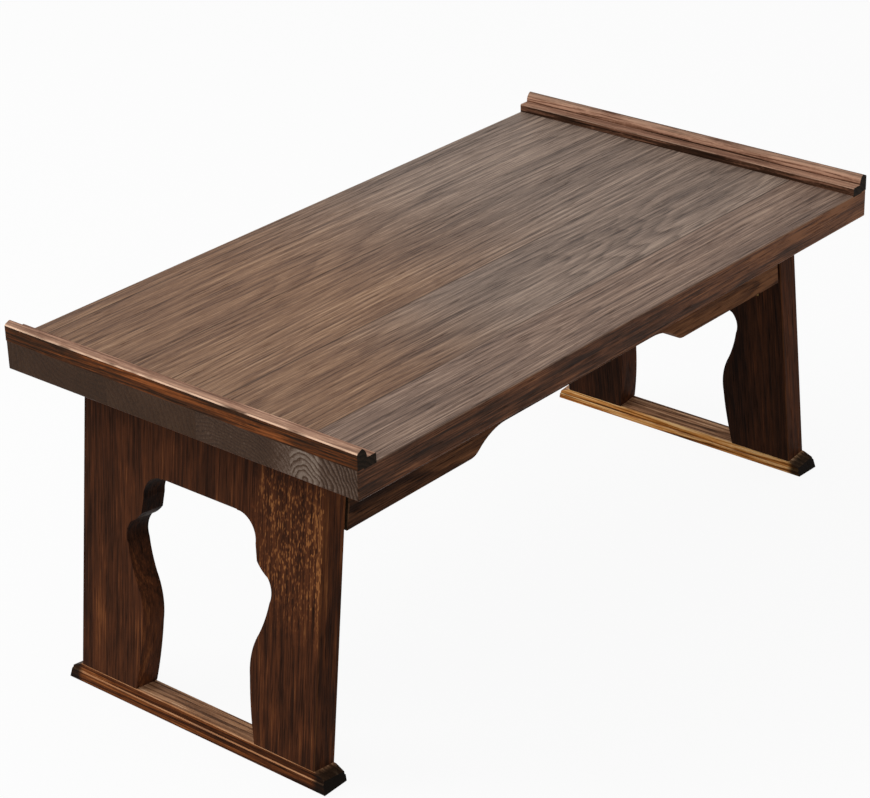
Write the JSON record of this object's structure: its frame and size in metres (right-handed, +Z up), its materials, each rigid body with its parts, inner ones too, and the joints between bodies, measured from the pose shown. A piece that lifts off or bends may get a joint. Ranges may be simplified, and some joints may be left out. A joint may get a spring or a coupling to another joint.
{
  "type": "folding lap desk",
  "caption": "Low folding lap desk: plank top with moulded end strips, waved aprons, and splayed leg panels with shaped windows that fold under it on butt hinges.",
  "frame": {"origin": "on the floor, under the middle of the top", "axes": "+X along the top's length, +Y from the front to the back, +Z up"},
  "size_m": [0.6102, 0.331, 0.2729],
  "materials": {
    "top_wood": "scorched and wire-brushed, matt lacquer",
    "strip_wood": "scorched moulding with rubbed bright arrises",
    "apron_wood": "scorched, matt lacquer",
    "leg_wood": "scorched, upright flecked grain, matt lacquer",
    "foot_wood": "scorched moulding with rubbed bright arrises",
    "rail_wood": "scorched, matt",
    "dowel_wood": "plain turned beech",
    "hinge_brass": "aged brass, pressed leaves",
    "pin_steel": "drawn steel wire",
    "screw_steel": "zinc plated"
  },
  "bodies": {
    "desk_top": {"apron_dowels": "dowel_wood", "apron_front": "apron_wood", "apron_rear": "apron_wood", "end_strip_left": "strip_wood", "end_strip_right": "strip_wood", "hinge_left_front_fixed_leaf": "hinge_brass", "hinge_left_front_pin": "pin_steel", "hinge_left_rear_fixed_leaf": "hinge_brass", "hinge_left_rear_pin": "pin_steel", "hinge_rail_left": "rail_wood", "hinge_rail_right": "rail_wood", "hinge_right_front_fixed_leaf": "hinge_brass", "hinge_right_front_pin": "pin_steel", "hinge_right_rear_fixed_leaf": "hinge_brass", "hinge_right_rear_pin": "pin_steel", "rail_fixing_screws": "screw_steel", "rail_hinge_screws": "screw_steel", "top_plank_1": "top_wood", "top_plank_2": "top_wood", "top_plank_3": "top_wood", "top_plank_4": "top_wood", "top_plank_5": "top_wood"},
    "left_leg": {"hinge_left_front_moving_leaf": "hinge_brass", "hinge_left_rear_moving_leaf": "hinge_brass", "left_leg_foot_dowels": "dowel_wood", "left_leg_foot_rail": "foot_wood", "left_leg_front_stile": "leg_wood", "left_leg_head": "leg_wood", "left_leg_hinge_screws": "screw_steel", "left_leg_rear_stile": "leg_wood"},
    "right_leg": {"hinge_right_front_moving_leaf": "hinge_brass", "hinge_right_rear_moving_leaf": "hinge_brass", "right_leg_foot_dowels": "dowel_wood", "right_leg_foot_rail": "foot_wood", "right_leg_front_stile": "leg_wood", "right_leg_head": "leg_wood", "right_leg_hinge_screws": "screw_steel", "right_leg_rear_stile": "leg_wood"}
  },
  "joints": [
    {"name": "left_leg_fold", "type": "hinge", "parent": "desk_top", "child": "left_leg", "pos_m": [-0.25833, 0, 0.1783], "axis": [0, -1, 0], "range_deg": [0, 97]},
    {"name": "right_leg_fold", "type": "hinge", "parent": "desk_top", "child": "right_leg", "pos_m": [0.25833, 0, 0.1783], "axis": [0, 1, 0], "range_deg": [0, 97]}
  ]
}
